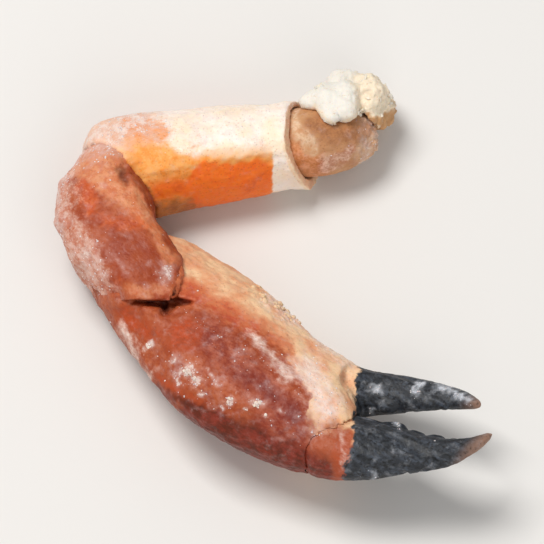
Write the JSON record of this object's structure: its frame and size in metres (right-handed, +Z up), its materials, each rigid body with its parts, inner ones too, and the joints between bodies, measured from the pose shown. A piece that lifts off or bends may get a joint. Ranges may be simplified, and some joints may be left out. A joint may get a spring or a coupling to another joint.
{
  "type": "cooked crab claw",
  "caption": "Cooked brown crab claw, C-shaped: white knuckle, arm, wrist, palm and black-tipped pincer, lying on its outer face, a piece of seafood for a table or a display.",
  "frame": {"origin": "under the middle of the claw's box, on the surface that it lies on", "axes": "+Z up from the surface; +Y from the pincer, across the gap of the C, to the arm; +X from the wrist towards the finger tips"},
  "size_m": [0.0866, 0.094, 0.0238],
  "materials": {
    "palm_shell": "brick red to maroon shell with orange and cream, matt, with a thin frost",
    "black_finger": "charcoal black horn, matt, with grey frost",
    "wrist_shell": "brick red shell with a lilac frost on its outer edge",
    "arm_shell": "cream shell with a vivid orange band",
    "joint_membrane": "smooth beige shell, slightly translucent",
    "knuckle_meat": "torn white knuckle, lumpy and porous"
  },
  "bodies": {
    "root": {"propodus": "palm_shell", "dactylus": "black_finger", "carpus": "wrist_shell", "merus": "arm_shell", "ischium": "joint_membrane", "knuckle": "knuckle_meat"}
  },
  "joints": []
}
